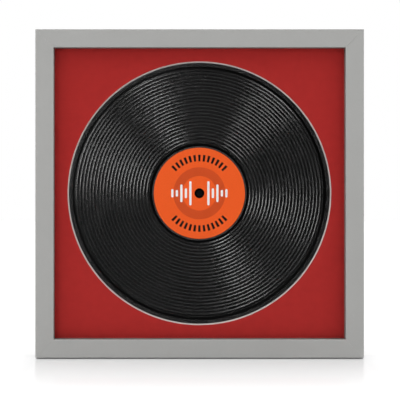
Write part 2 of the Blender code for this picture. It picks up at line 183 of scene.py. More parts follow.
def mottled(tree, noise, limits, first, second):
    """Two swatches mixed by a noise, whose contrast is widened between those limits."""
    share = node(tree, "MapRange", noise, *limits, 0, 1)
    return layered(tree, swatch(first), (share, swatch(second)))


def paint(tree, shader, colour, roughness=None, height=None, depth=0.0):
    """Gives a shader its colour, a roughness that varies and a relief up to depth metres high."""
    fill(tree, shader, {"Base Color": colour})
    if roughness is not None:
        fill(tree, shader, {"Roughness": roughness})
    if height is not None:
        raised = {"Height": height, "Strength": 1.0, "Distance": depth}
        fill(tree, shader, {"Normal": node(tree, "Bump", raised)})


# %% [markdown]
# ## Silver grey foil on fibreboard
# A cheap, straight moulding like this is medium density fibreboard wrapped in a printed paper
# foil. The foil is satin: it scatters light widely, with no sharp mirror image. It covers the
# front, the outer side and the inner wall of the lip, and the rebate and the back stay raw. One
# material shows both, told apart by where a point lies, because the wrap ends at those places.

# %% Foil and raw fibreboard
# How far the tests for the wrap's ends, and the test for the painted shade on the lip's inner
# wall, stand off the surfaces that they tell apart.
WRAP_END_BEHIND = 0.1 * MM
WRAP_EDGE_INSIDE = 0.3 * MM
PAINTED_SHADE_WALL_MARGIN = 0.1 * MM
PEARL_GRAIN = 0.6 * MM
TONE_DRIFT = 60 * MM
FIBRE_LENGTH = 1.2 * MM
FIBRE_RELIEF = 0.08 * MM
FOIL_ROUGHNESS = 0.48
RAW_ROUGHNESS = 0.9
DRIFT_SHARE = 0.35

lip_back_y = span("glazing_sheet")[0].y


def make_foil():
    """Satin foil where the wrap lies, which gives wide soft highlights, and raw board elsewhere.
    The inner wall of the lip is painted a darker grey as shade.
    """
    material, tree, shader = new_material("silver_grey_foil_wrap", IOR=1.5)
    x, y, z = own_axes(tree)
    across = node(tree, "Math.ABSOLUTE", node(tree, "Math.SUBTRACT", x, centre_x))
    rise = node(tree, "Math.ABSOLUTE", node(tree, "Math.SUBTRACT", z, centre_z))
    farthest = node(tree, "Math.MAXIMUM", across, rise)
    behind = node(tree, "Math.GREATER_THAN", y, lip_back_y - WRAP_END_BEHIND)
    inside = node(tree, "Math.LESS_THAN", farthest, half_outer - WRAP_EDGE_INSIDE)
    raw = node(tree, "Math.MULTIPLY", behind, inside)
    # The foil's print is a pearl grain over a slow drift of tone. Its real flakes are far finer
    # than this and wouldn't show, so the grain is drawn coarser.
    foil = mottled(tree, grain(tree, PEARL_GRAIN, detail=2), GRAIN_SPAN, "A3A3A1", "AAAAA8")
    cloud = node(tree, "MapRange", grain(tree, TONE_DRIFT, detail=2), *GRAIN_SPAN, 0, DRIFT_SHARE)
    # Pressed wood fibres are 1 to 3 mm long and lie every way.
    fibre = grain(tree, FIBRE_LENGTH, detail=6, roughness=0.7)
    board = mottled(tree, fibre, MOTTLE_SPAN, "8F7552", "B79A72")
    # Painted shade: the inner wall of the lip is painted a darker grey than the foil.
    wall = node(tree, "Math.LESS_THAN", farthest, half_sight + PAINTED_SHADE_WALL_MARGIN)
    coats = (cloud, swatch("A1A19F")), (wall, swatch("6C6C6A")), (raw, board)
    roughness = node(tree, "MapRange", raw, 0, 1, FOIL_ROUGHNESS, RAW_ROUGHNESS)
    height = node(tree, "Math.MULTIPLY", fibre, raw)
    paint(tree, shader, layered(tree, foil, *coats), roughness, height, FIBRE_RELIEF)
    return material


foil_wrap = make_foil()
print("Foil stops", f"{(lip_back_y - face_y) / MM:.1f} mm behind the face")

# %% [markdown]
# ## Red mat board
# Mat board is a thick card faced with dyed paper. Its core is white, so a bevelled window shows
# a bright line around what it frames. The face is matt with a felt texture of short fibres. The
# core and the back are separate finishes, given to their own faces of the mesh.

# %% Red face paper, white core and buff backing paper
PAPER_FIBRE = 0.9 * MM
PAPER_PATCH = 9 * MM
PAPER_SHINE = 0.3
FIBRE_SHARE = 0.6
PATCH_SHARE = 0.4


def make_paper(name, main, other, tooth, roughness=0.92):
    """Uncoated paper: two close colours mixed by its fibres, and matt from its fine tooth."""
    material, tree, shader = new_material(name, Roughness=roughness, IOR=1.45)
    shader.inputs["Specular IOR Level"].default_value = PAPER_SHINE
    fibre = grain(tree, PAPER_FIBRE, detail=5, roughness=0.65)
    patch = grain(tree, PAPER_PATCH, detail=3)
    fine = node(tree, "Math.MULTIPLY", fibre, FIBRE_SHARE)
    amount = node(tree, "Math.ADD", fine, node(tree, "Math.MULTIPLY", patch, PATCH_SHARE))
    colour = mottled(tree, amount, MOTTLE_SPAN, main, other)
    paint(tree, shader, colour, height=fibre, depth=tooth)
    return material


red_paper = make_paper("red_mat_face_paper", "A82523", "B32A27", 0.03 * MM)
white_core = make_paper("white_mat_core", "BDB3AF", "C8BEBB", 0.02 * MM)
buff_paper = make_paper("buff_mat_back_paper", "D8D0C0", "E2DBCC", 0.02 * MM)
print("Papers:", red_paper.name, white_core.name, buff_paper.name)

# %% [markdown]
# ## Grey board, black card and hardboard
# Behind the mat lie a grey carrier board, a black card and a brown back board. Grey board is
# pulped paper with dark flecks. The back board is thin hardboard: pressed fibres with a smooth,
# slightly polished side, which is what shows at the back of the frame.

# %% Boards behind the mat
FLECK_SIZE = 2.2 * MM
FLECK_SPAN = (0.66, 0.72)
FLECK_SHARE = 0.6
BOARD_SPAN = (0.38, 0.62)
DULLER_BY = 0.1


def make_board(name, dark, light, fibre_size, fleck, roughness, tooth):
    """Pressed fibre board: mottled and dull, with sparse dark flecks."""
    material, tree, shader = new_material(name, IOR=1.5)
    fibre = grain(tree, fibre_size, detail=7, roughness=0.72)
    long_way = grain(tree, fibre_size, stretch=(3, 3, 1), detail=4)
    amount = node(tree, "Math.MULTIPLY", node(tree, "Math.ADD", fibre, long_way), 0.5)
    colour = mottled(tree, amount, BOARD_SPAN, dark, light)
    specks = node(tree, "MapRange", grain(tree, FLECK_SIZE, detail=1), *FLECK_SPAN, 0, FLECK_SHARE)
    dullness = node(tree, "MapRange", fibre, *GRAIN_SPAN, roughness, roughness + DULLER_BY)
    colour = layered(tree, colour, (specks, swatch(fleck)))
    paint(tree, shader, colour, dullness, fibre, tooth)
    return material


grey_board = make_board(
    "grey_pulp_board", "857D72", "9B9388", 1.0 * MM, "5C554C", 0.85, 0.04 * MM
)
black_card = make_board(
    "black_backing_card", "0A0A0A", "101010", 0.8 * MM, "060606", 0.8, 0.03 * MM
)
hardboard = make_board(
    "brown_hardboard", "7A5636", "96704A", 1.4 * MM, "4E3520", 0.55, 0.05 * MM
)
print("Boards:", grey_board.name, black_card.name, hardboard.name)

# %% [markdown]
# ## Clear acrylic glazing
# The sheet in front is extruded acrylic. It is almost invisible: about a twenty-fifth of the
# light is mirrored at each face and the rest goes straight through. A thick refracting solid
# would blur and darken what lies behind, so the sheet is drawn as a see-through surface with a
# mirror that grows at the edges of view, which is what the eye gets from it. Light that leaves
# the sheet at its other face passes freely, because it was never bent on its way in.

# %% See-through sheet
ACRYLIC_IOR = 1.49
POLISH_ROUGHNESS = 0.03


def make_acrylic():
    """Polished sheet: clear to the eye, with a faint sharp mirror at a slant."""
    material, tree, shader = new_material("clear_acrylic_sheet")
    tree.nodes.remove(shader)
    clear = node(tree, "BsdfTransparent", {"Color": swatch("FFFFFF")})
    mirror = node(tree, "BsdfGlossy", {"Roughness": POLISH_ROUGHNESS})
    fresnel = node(tree, "Fresnel", {"IOR": ACRYLIC_IOR}).outputs[0]
    leaving = node(tree, "NewGeometry").outputs["Backfacing"]
    share = node(tree, "Math.MULTIPLY", fresnel, node(tree, "Math.SUBTRACT", 1.0, leaving))
    mixed = node(tree, "MixShader", share, clear, mirror)
    fill(tree, tree.nodes["Material Output"], {"Surface": mixed})
    return material


clear_acrylic = make_acrylic()
print("Glazing:", clear_acrylic.name)

# %% [markdown]
# ## Printed paper label
# The label is orange paper, printed in three inks and pressed into the vinyl. Its design here
# is a plain one: a row of white level bars through the middle, as a sound meter draws them, two
# fans of black tick marks above and below, and a darker orange ring behind them. All of it is
# worked out from a point's place on the label, so it stays sharp at any size.

# %% Distance in a plane, and soft-edged tests
SOFT_EDGE = 0.06 * MM


def length_of(tree, x, y):
    """Distance of a point (x, y) from the middle."""
    flat = node(tree, "CombineXYZ", x, y)
    return node(tree, "VectorMath.LENGTH", flat).outputs["Value"]


def below(tree, value, limit, edge=SOFT_EDGE):
    """1 where the value is under the limit, 0 where it is over, with a soft edge."""
    return node(tree, "MapRange", node(tree, "Math.SUBTRACT", value, limit), -edge, edge, 1, 0)


def between(tree, value, low, high):
    """1 between two limits."""
    return node(tree, "Math.SUBTRACT", below(tree, value, high), below(tree, value, low))


# %% Level bars in white ink
BAR_PITCH = 5.2 * MM
BAR_WIDTH = 2.6 * MM
BAR_TALLEST = 14 * MM
BAR_SHORTEST = 0.6 * MM
BAR_FIELD = 35 * MM
BAR_CLEAR = 8.5 * MM
BAR_FALL = 0.22
BEAT_SWING = 0.3
BEAT_MIDDLE = 0.7


def level_bars(tree, x, y):
    """Upright bars with round ends, tall and short by turns, that fall off to the sides."""
    number = node(tree, "Math.ROUND", node(tree, "Math.DIVIDE", x, BAR_PITCH))
    across = node(tree, "Math.SUBTRACT", x, node(tree, "Math.MULTIPLY", number, BAR_PITCH))
    fall = node(tree, "Math.COSINE", node(tree, "Math.MULTIPLY", number, BAR_FALL))
    turns = node(tree, "Math.COSINE", node(tree, "Math.MULTIPLY", number, math.pi))
    beat = node(tree, "Math.ADD", node(tree, "Math.MULTIPLY", turns, BEAT_SWING), BEAT_MIDDLE)
    half_height = node(tree, "Math.MULTIPLY", node(tree, "Math.MULTIPLY", fall, beat), BAR_TALLEST)
    half_height = node(tree, "Math.MAXIMUM", half_height, BAR_SHORTEST)
    past_end = node(tree, "Math.SUBTRACT", node(tree, "Math.ABSOLUTE", y), half_height)
    past_end = node(tree, "Math.MAXIMUM", past_end, 0.0)
    bar = below(tree, length_of(tree, across, past_end), BAR_WIDTH / 2)
    field = between(tree, node(tree, "Math.ABSOLUTE", x), BAR_CLEAR, BAR_FIELD)
    return node(tree, "Math.MULTIPLY", bar, field)


# %% Tick fans in black ink
TICKS_ROUND = 48
TICK_SHARE = 0.5
TICK_RADII = (37 * MM, 44.5 * MM)
TICK_EDGE = 0.03
FAN_HALF_ANGLE = math.radians(48.75)
FAN_EDGE = 0.004


def tick_fans(tree, x, y, radius):
    """Short radial strokes in two arcs, above and below the middle."""
    angle = node(tree, "Math.ARCTAN2", x, y)
    turned = node(tree, "Math.MULTIPLY", angle, TICKS_ROUND / (2 * math.pi))
    nearest = node(tree, "Math.ROUND", turned)
    phase = node(tree, "Math.ABSOLUTE", node(tree, "Math.SUBTRACT", turned, nearest))
    stroke = below(tree, phase, TICK_SHARE / 2, edge=TICK_EDGE)
    aside, rise = node(tree, "Math.ABSOLUTE", x), node(tree, "Math.ABSOLUTE", y)
    from_upright = node(tree, "Math.ARCTAN2", aside, rise)
    fan = below(tree, from_upright, FAN_HALF_ANGLE, edge=FAN_EDGE)
    band = between(tree, radius, *TICK_RADII)
    return node(tree, "Math.MULTIPLY", node(tree, "Math.MULTIPLY", stroke, fan), band)


# %% Label paper and its inks
RING_RADII = (20 * MM, 30 * MM)
RING_INK_SHARE = 0.9
LABEL_FIBRE = 0.8 * MM
LABEL_TOOTH = 0.01 * MM


def make_label_paper():
    """Printed paper pressed flat in the mould: strong colours with a soft, low sheen."""
    material, tree, shader = new_material("printed_label_paper", Roughness=0.62, IOR=1.5)
    shader.inputs["Specular IOR Level"].default_value = PAPER_SHINE
    x, y, _ = own_axes(tree)
    radius = length_of(tree, x, y)
    fibre = grain(tree, LABEL_FIBRE, detail=4)
    colour = mottled(tree, fibre, GRAIN_SPAN, "F25A12", "F65F17")
    ring = node(tree, "Math.MULTIPLY", between(tree, radius, *RING_RADII), RING_INK_SHARE)
    ticks, bars = tick_fans(tree, x, y, radius), level_bars(tree, x, y)
    inks = (ring, swatch("D04A10")), (ticks, swatch("14110F")), (bars, swatch("F7F6F4"))
    paint(tree, shader, layered(tree, colour, *inks), height=fibre, depth=LABEL_TOOTH)
    return material


label_paper = make_label_paper()
print("Label:", label_paper.name)

# %% [markdown]
# ## Zinc plated steel and rubber
# The fittings at the back are stamped from mild steel and bright zinc plated. Zinc is a grey
# mirror, softened by fine tumbling marks and by a faint blue cast from its clear finish. The
# bumpers are moulded black rubber, which shows wide, weak highlights.

# %% Steel and rubber
ZINC_CLOUD = 3 * MM
# Real tumbling marks are finer than this. They are drawn as coarse as they need to show.
TUMBLING_MARK = 0.35 * MM
TUMBLING_RELIEF = 0.006 * MM
ZINC_ROUGHNESS = (0.28, 0.42)
RUBBER_BLOOM = 1.2 * MM
RUBBER_TOOTH = 0.01 * MM
RUBBER_ROUGHNESS = (0.55, 0.72)


def make_zinc():
    """A grey mirror blurred by tumbling, so each lamp shows as a soft patch."""
    material, tree, shader = new_material("zinc_plated_steel", Metallic=1.0)
    cloud = grain(tree, ZINC_CLOUD, detail=4)
    marks = grain(tree, TUMBLING_MARK, stretch=(4, 1, 1), detail=3)
    colour = mottled(tree, cloud, GRAIN_SPAN, "C3C6C8", "D2D3D0")
    roughness = node(tree, "MapRange", marks, *GRAIN_SPAN, *ZINC_ROUGHNESS)
    paint(tree, shader, colour, roughness, marks, TUMBLING_RELIEF)
    return material


def make_rubber():
    """Near-black and dull, with the faint grey bloom that rubber gets."""
    material, tree, shader = new_material("moulded_black_rubber", IOR=1.52)
    bloom = grain(tree, RUBBER_BLOOM, detail=4)
    colour = mottled(tree, bloom, GRAIN_SPAN, "1D1D1D", "2B2B2A")
    roughness = node(tree, "MapRange", bloom, *GRAIN_SPAN, *RUBBER_ROUGHNESS)
    paint(tree, shader, colour, roughness, bloom, RUBBER_TOOTH)
    return material


zinc_steel = make_zinc()
black_rubber = make_rubber()
print("Metal and rubber:", zinc_steel.name, black_rubber.name)

# %% [markdown]
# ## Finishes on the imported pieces
# Flat sheets, rails and pressed wedges already have their true shape, so they keep their
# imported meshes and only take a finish. One material slot is enough for each of them.

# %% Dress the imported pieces
def dress(material, *names):
    """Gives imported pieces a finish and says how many."""
    for name in names:
        piece = frame["nodes"][name]
        piece.data.materials.clear()
        piece.data.materials.append(material)
    print(f"{material.name}: {len(names)}")


rail_names = [name for name in frame["nodes"] if name.endswith("_rail")]
wedge_names = [name for name in frame["nodes"] if name.startswith("mitre_wedge")]
dress(foil_wrap, *rail_names)
dress(clear_acrylic, "glazing_sheet")
dress(grey_board, "record_carrier")
dress(black_card, "backing_card")
dress(hardboard, "back_board")
dress(zinc_steel, *wedge_names)

# %% [markdown]
# ## Adding a finer piece
# Each new mesh stands for one imported piece: it rides on the same body, hides that piece and
# takes the finishes it is given. Smooth shading with a sharp-edge angle keeps flat faces flat
# and round faces round.

# %% Put a new piece in the model
bodies = frame["record"]["behaviour"]["bodies"]
body_of_node = {name: body for body, names in bodies.items() for name in names}
SHARP_ANGLE = math.radians(35)


def in_scene(name, data):
    """A new object, linked to the scene."""
    made = bpy.data.objects.new(name, data)
    bpy.context.scene.collection.objects.link(made)
    return made


def stand_in(mesh, name, matrix, slot, *materials):
    """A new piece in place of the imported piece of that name."""
    for material in materials:
        mesh.materials.append(material)
    mesh.shade_smooth()
    mesh.set_sharp_from_angle(angle=SHARP_ANGLE)
    piece = in_scene(name + "_fine", mesh)
    piece.matrix_world = matrix
    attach(piece, body_of_node[name])
    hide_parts(name)
    return piece


print("Packed pieces that a finer one can ride on:", len(body_of_node))

# %% [markdown]
# ## Turning a profile
# Discs, labels, screws and bumpers are turned shapes. A profile of (radius, height) points is
# spun around Z by the mesh's own spin tool, which joins the last ring to the first. A round
# stretch is an arc, so its smoothness is a choice of steps.

# %% Spin a profile, and draw an arc
SPIN_WELD = 0.001 * MM


def arc(centre_x, centre_y, radius, start, end, steps):
    """Points along an arc in degrees, both ends included."""
    angles = [math.radians(start + (end - start) * i / steps) for i in range(steps + 1)]
    return [(centre_x + radius * math.cos(a), centre_y + radius * math.sin(a)) for a in angles]


def mesh_of(shape, name):
    """The mesh of a finished bmesh shape."""
    mesh = bpy.data.meshes.new(name)
    shape.to_mesh(mesh)
    shape.free()
    return mesh


def spun(name, profile, steps, closed):
    """A closed solid turned around Z. An open profile starts and ends on the axis."""
    shape = bmesh.new()
    points = [shape.verts.new((radius, 0, height)) for radius, height in profile]
    ends = list(zip(points, points[1:]))
    if closed:
        ends.append((points[-1], points[0]))
    edges = [shape.edges.new(pair) for pair in ends]
    around_z = {"cent": (0, 0, 0), "axis": (0, 0, 1), "angle": 2 * math.pi}
    bmesh.ops.spin(shape, geom=points + edges, steps=steps, use_merge=True, **around_z)
    bmesh.ops.remove_doubles(shape, verts=shape.verts, dist=SPIN_WELD)
    bmesh.ops.recalc_face_normals(shape, faces=shape.faces)
    return mesh_of(shape, name)


# Turns a shape drawn in its own XY plane so that its +Z faces the front or the back.
FACE_FRONT = Matrix.Rotation(math.pi / 2, 4, "X")
FACE_BACK = Matrix.Rotation(math.pi, 4, "Z") @ FACE_FRONT

# %% [markdown]
# ## The record
# The disc has a raised flat rim, a sunken channel, then a field of rounded ridges down to a
# second channel around the label. Each ridge is drawn as two circular arcs that meet in a soft
# crest, with a sharp valley on each side. Along an arc the slope changes evenly, so where a
# flank can mirror a lamp to the eye, one thin line on it does, and those lines stack up into a
# fan of light.

# %% Record sizes
RIM_WIDTH = 4.7 * MM
CHANNEL_WIDTH = 3.15 * MM
CHANNEL_DEPTH = 0.6 * MM
CHANNEL_ROUND = 0.3 * MM
RIDGE_COUNT = 22
RIDGE_HEIGHT = 0.45 * MM
RIDGE_DROP = 0.1 * MM
CREST_SLOPE = 5.0
FLANK_STEPS = 6
EDGE_ROUND = 0.6 * MM
EDGE_STEPS = 5
SPINDLE_RADIUS = 3.65 * MM
LABEL_GAP = 0.1 * MM
LABEL_BORDER_WIDTH = 1.8 * MM
LABEL_SEAT_DEPTH = 0.4 * MM
RECORD_TURN_STEPS = 270
label_low, label_high, _ = span("label_front")
label_radius = (label_high.x - label_low.x) / 2
border_in = label_radius + LABEL_GAP
border_out = border_in + LABEL_BORDER_WIDTH
rim_in = record_radius - RIM_WIDTH
field_in = border_out + CHANNEL_WIDTH
field_out = rim_in - CHANNEL_WIDTH
ridge_pitch = (field_out - field_in) / RIDGE_COUNT
print(f"Ridges {ridge_pitch / MM:.2f} mm apart")

# %% [markdown]
# ## Pressed black vinyl
# A record is PVC with carbon black, pressed between hot stampers. Nearly all that the eye sees
# is the mirror image of the lamps, bent by the ridges into bright fans, so the roughness is
# low. A real groove is about a tenth of a millimetre wide, too fine to show here, so it is
# drawn coarsely, as 22 ridges. The colour adds painted sheen and painted shade: the hollows
# between the ridges are painted dark grey as lines of sheen, between near-black crests, and
# the two channels are painted a deeper black as shade. The rim is painted grey as sheen too,
# and the border beside the label is painted the lightest.

# %% Vinyl
VINYL_SHINE = 0.8
VINYL_ROUGHNESS = (0.17, 0.19)
PRESSING_CLOUD = 12 * MM


def make_vinyl():
    """Glossy black with painted sheen and shade, so the record looks like its lamps more than like a colour."""
    material, tree, shader = new_material("pressed_black_vinyl", IOR=1.54)
    shader.inputs["Specular IOR Level"].default_value = VINYL_SHINE
    x, y, _ = own_axes(tree)
    radius = length_of(tree, x, y)
    steps = node(tree, "Math.DIVIDE", node(tree, "Math.SUBTRACT", radius, field_in), ridge_pitch)
    phase = node(tree, "Math.SUBTRACT", node(tree, "Math.FRACT", steps), 0.5)
    painted_sheen_hollow = node(tree, "Math.MULTIPLY", node(tree, "Math.ABSOLUTE", phase), 2.0)
    field = between(tree, radius, field_in, field_out)
    rim = node(tree, "Math.GREATER_THAN", radius, rim_in)
    cloud = grain(tree, PRESSING_CLOUD, detail=3)
    # Painted sheen: grey lines in the hollows between the ridges, with near-black crests.
    ridges = layered(tree, swatch("0B0B0B"), (painted_sheen_hollow, swatch("2E2E2E")))
    # The rim and the border beside the label are painted grey as sheen, the border lightest.
    border = between(tree, radius, border_in, border_out)
    zones = (field, ridges), (rim, swatch("292929")), (border, swatch("3C3C3C"))
    roughness = node(tree, "MapRange", cloud, *GRAIN_SPAN, *VINYL_ROUGHNESS)
    # The base, which shows in the two channels, is painted near black as shade.
    paint(tree, shader, layered(tree, swatch("010101"), *zones), roughness)
    return material


black_vinyl = make_vinyl()
print("Disc:", black_vinyl.name)


# %% One ridge, as two arcs that meet in a soft crest
def ridge(start, width, crest, height):
    """Points over a ridge from its inner valley up to, not including, its outer valley."""
    half = width / 2
    middle = start + half
    chord_slope = math.degrees(math.atan2(height, half))
    valley_slope = 2 * chord_slope - CREST_SLOPE
    bend = math.hypot(half, height) / (2 * math.sin(math.radians(chord_slope - CREST_SLOPE)))
    aside = bend * math.sin(math.radians(CREST_SLOPE))
    down = crest - bend * math.cos(math.radians(CREST_SLOPE))
    up = arc(middle + aside, down, bend, 90 + valley_slope, 90 + CREST_SLOPE, FLANK_STEPS)
    back = arc(middle - aside, down, bend, 90 - CREST_SLOPE, 90 - valley_slope, FLANK_STEPS)
    return up[:-1] + back[:-1]


# %% The record's whole section
def record_section():
    """From the spindle hole over the front, round the rim's edge and back under the disc."""
    front = (disc_high.y - disc_low.y) / 2
    crest = front - RIDGE_DROP
    trough = crest - RIDGE_HEIGHT
    channel = front - CHANNEL_DEPTH
    seat = front - LABEL_SEAT_DEPTH
    points = [(SPINDLE_RADIUS, seat), (border_in, seat), (border_in, crest)]
    points += [(border_out, crest), (border_out + CHANNEL_ROUND, channel)]
    points += [(field_in - CHANNEL_ROUND, channel)]
    for number in range(RIDGE_COUNT):
        points += ridge(field_in + number * ridge_pitch, ridge_pitch, crest, RIDGE_HEIGHT)
    points += [(field_out, trough), (field_out + CHANNEL_ROUND, channel)]
    points += [(rim_in - CHANNEL_ROUND, channel), (rim_in, front)]
    edge_x = record_radius - EDGE_ROUND
    points += arc(edge_x, front - EDGE_ROUND, EDGE_ROUND, 90, 0, EDGE_STEPS)
    points += arc(edge_x, EDGE_ROUND - front, EDGE_ROUND, 0, -90, EDGE_STEPS)
    points += [(rim_in, -front), (rim_in - CHANNEL_ROUND, -crest)]
    points += [(border_in, -crest), (border_in, -seat), (SPINDLE_RADIUS, -seat)]
    return points


# %% Turn the record
record_mesh = spun("record", record_section(), RECORD_TURN_STEPS, closed=True)
record_at = Matrix.Translation(disc_middle) @ FACE_FRONT
record = stand_in(record_mesh, "record_disc", record_at, "black_vinyl", black_vinyl)
print("Faces in the record:", len(record.data.polygons))

# %% [markdown]
# ## The labels
# A label is a ring of paper a fifth of a millimetre thick. Its print is drawn in the material,
# from the label's own middle, so the piece's origin has to lie there.

# %% Turn the two labels
LABEL_TURN_STEPS = 180
LABEL_HOLE_RADIUS = 5.75 * MM


def make_label(name, facing):
    """A flat ring of paper that faces the front or the back."""
    low, high, middle = span(name)
    half = (high.y - low.y) / 2
    inner, outer = LABEL_HOLE_RADIUS, label_radius
    section = [(inner, half), (outer, half), (outer, -half), (inner, -half)]
    mesh = spun(name, section, LABEL_TURN_STEPS, closed=True)
    at = Matrix.Translation(middle) @ facing
    stand_in(mesh, name, at, "label_paper", label_paper)


make_label("label_front", FACE_FRONT)
make_label("label_back", FACE_BACK)
print(f"Label {2 * label_radius / MM:.1f} mm across")

# %% [markdown]
# ## The mat
# The window is a true circle cut at 45 degrees, so the mesh follows it closely. Rays from the
# middle join each point of the window to the square edge, which keeps every face a clean quad.
# The face paper, the white bevel and the backing paper are three finishes on one piece.

# %% Ring of quads between a circle and a square
MAT_BEVEL_SIDES = 360
MAT_OVERLAP = 0.4 * MM
FACE_PAPER, CORE, BACK_PAPER = 0, 1, 2


def square_point(angle, half):
    """Where a ray from the middle leaves a square."""
    x, y = math.cos(angle), math.sin(angle)
    reach = half / max(abs(x), abs(y))
    return x * reach, y * reach


def make_mat(window_radius):
    """Four rings of points: square and circle at the front, circle and square at the back."""
    low, high, middle = span("mat_board")
    half = (high.x - low.x) / 2
    up = (high.y - low.y) / 2
    shape = bmesh.new()
    rings = [[], [], [], []]
    for step in range(MAT_BEVEL_SIDES):
        angle = 2 * math.pi * step / MAT_BEVEL_SIDES
        x, y = square_point(angle, half)
        across, rise = math.cos(angle), math.sin(angle)
        # A 45 degree cut is as much wider at the front as the board is thick.
        front_radius = window_radius + 2 * up
        rings[0].append(shape.verts.new((x, y, up)))
        rings[1].append(shape.verts.new((front_radius * across, front_radius * rise, up)))
        rings[2].append(shape.verts.new((window_radius * across, window_radius * rise, -up)))
        rings[3].append(shape.verts.new((x, y, -up)))
    for ring, finish in enumerate((FACE_PAPER, CORE, BACK_PAPER, FACE_PAPER)):
        inner, outer = rings[ring], rings[(ring + 1) % 4]
        for step in range(MAT_BEVEL_SIDES):
            after = (step + 1) % MAT_BEVEL_SIDES
            face = shape.faces.new((inner[step], inner[after], outer[after], outer[step]))
            face.material_index = finish
    bmesh.ops.recalc_face_normals(shape, faces=shape.faces)
    mesh = mesh_of(shape, "mat")
    at = Matrix.Translation(middle) @ FACE_FRONT
    stand_in(mesh, "mat_board", at, "mat_board", red_paper, white_core, buff_paper)


make_mat(record_radius - MAT_OVERLAP)
print(f"Window {2 * (record_radius - MAT_OVERLAP) / MM:.1f} mm across at the back of the mat")

# %% [markdown]
# ## Flat stampings
# Turn buttons and straps are stamped from steel strip. A stamping has a crisp outline whose
# edges are slightly rounded by the press and the tumbling drum. A filled 2D curve gives the
# plate, since curves draw arcs and holes easily, and a small bevel then rounds its edges.

# %% Freeze a curve or modified object as a mesh
def baked(data, *modifiers):
    """The mesh of a curve or mesh after modifiers, each a (kind, settings) pair."""
    holder = in_scene("holder", data)
    for kind, settings in modifiers:
        step = holder.modifiers.new(kind.lower(), kind)
        for key, value in settings.items():
            setattr(step, key, value)
    graph = bpy.context.evaluated_depsgraph_get()
    mesh = bpy.data.meshes.new_from_object(holder.evaluated_get(graph))
    bpy.data.objects.remove(holder)
    return mesh


# %% Plate from outlines
PLATE_WELD = 0.002 * MM
SHARP_CORNER = math.radians(60)
EDGE_SEGMENTS = 3


def closed_line(curve, points):
    """Adds a closed line through (x, y) points to a curve."""
    line = curve.splines.new("POLY")
    line.points.add(len(points) - 1)
    for point, (x, y) in zip(line.points, points):
        point.co = (x, y, 0, 1)
    line.use_cyclic_u = True


def plate(name, loops, thickness, edge_round):
    """A plate in the XY plane with softened edges. The first outline is its edge."""
    drawn = bpy.data.curves.new(name, "CURVE")
    drawn.dimensions = "2D"
    drawn.fill_mode = "BOTH"
    drawn.extrude = thickness / 2
    for loop in loops:
        closed_line(drawn, loop)
    mesh = baked(drawn)
    shape = bmesh.new()
    shape.from_mesh(mesh)
    bmesh.ops.remove_doubles(shape, verts=shape.verts, dist=PLATE_WELD)
    sharp = [edge for edge in shape.edges if edge.calc_face_angle(0) > SHARP_CORNER]
    bmesh.ops.bevel(
        shape, geom=sharp, offset=edge_round, segments=EDGE_SEGMENTS, profile=0.5, affect="EDGES"
    )
    bmesh.ops.recalc_face_normals(shape, faces=shape.faces)
    shape.to_mesh(mesh)
    shape.free()
    return mesh


# %% [markdown]
# ## Turn buttons
# Eight turn buttons hold the back board in. Each is a tapered tongue with a round end about its
# screw and a smaller round end that bears on the board. The button's screw is its pivot, so its
# mesh is drawn around that point and placed there.

# %% Outline of a turn button
BUTTON_PIVOT_RADIUS = 6 * MM
BUTTON_TIP_RADIUS = 4 * MM
BUTTON_HOLE_RADIUS = 1.8 * MM
STAMPED_EDGE = 0.22 * MM
ROUND_STEPS = 28


def tongue(reach):
    """Two round ends of unlike radius, joined by the lines that touch both."""
    tip_x = reach - BUTTON_TIP_RADIUS
    lean = math.degrees(math.acos((BUTTON_PIVOT_RADIUS - BUTTON_TIP_RADIUS) / tip_x))
    pivot_end = arc(0, 0, BUTTON_PIVOT_RADIUS, lean, 360 - lean, ROUND_STEPS)
    return pivot_end + arc(tip_x, 0, BUTTON_TIP_RADIUS, -lean, lean, ROUND_STEPS)


# %% Place the turn buttons
def make_buttons():
    """One button on each turning joint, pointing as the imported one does."""
    made = []
    for joint in frame["joints"]:
        name = joint["name"].replace("turn_", "turn_button_", 1)
        if name not in frame["nodes"]:
            continue
        pivot = Vector(joint["pos_m"])
        low, high, middle = span(name)
        inwards = Vector((middle.x - pivot.x, 0, middle.z - pivot.z)).normalized()
        reach = max(high.x - low.x, high.z - low.z) - BUTTON_PIVOT_RADIUS
        outline = tongue(reach)
        hole = arc(0, 0, BUTTON_HOLE_RADIUS, 0, 360, ROUND_STEPS)[:-1]
        mesh = plate(name, [outline, hole], high.y - low.y, STAMPED_EDGE)
        back = Vector((0, 1, 0))
        turn = Matrix((inwards, back.cross(inwards), back)).transposed().to_4x4()
        at = Matrix.Translation((pivot.x, middle.y, pivot.z)) @ turn
        made.append(stand_in(mesh, name, at, "zinc_steel", zinc_steel))
    print("Turn buttons:", len(made))


make_buttons()

# %% [markdown]
# ## Pan head screws
# Ten wood screws with pan heads and cross recesses. The head is a turned dome, and the recess
# is cut from it with a Boolean, by a cross whose arms narrow towards the bottom as a driver's
# tip does. The mesh is made once and copied for all ten, as screws from one box are alike.

# %% One screw
SCREW_RADIUS = 1.5 * MM
SCREW_LENGTH = 10 * MM
SCREW_POINT = 3 * MM
HEAD_RADIUS = 3 * MM
HEAD_HEIGHT = 1.9 * MM
HEAD_CORNER = 0.35 * MM
RECESS_HALF = 1.55 * MM
RECESS_WIDTH = 0.62 * MM
RECESS_DEPTH = 1.15 * MM
RECESS_ABOVE = 0.3 * MM
RECESS_TIP_LENGTH_SHARE = 0.45
RECESS_TIP_WIDTH_SHARE = 0.8
CROWN_SHARE = 0.16
SKIRT_SHARE = 0.15
SKIRT_LEAN = 0.1 * MM
HEAD_CORNER_START = 80
HEAD_STEPS = 6
SCREW_TURN_STEPS = 40
SCREW_TURN = math.radians(37)


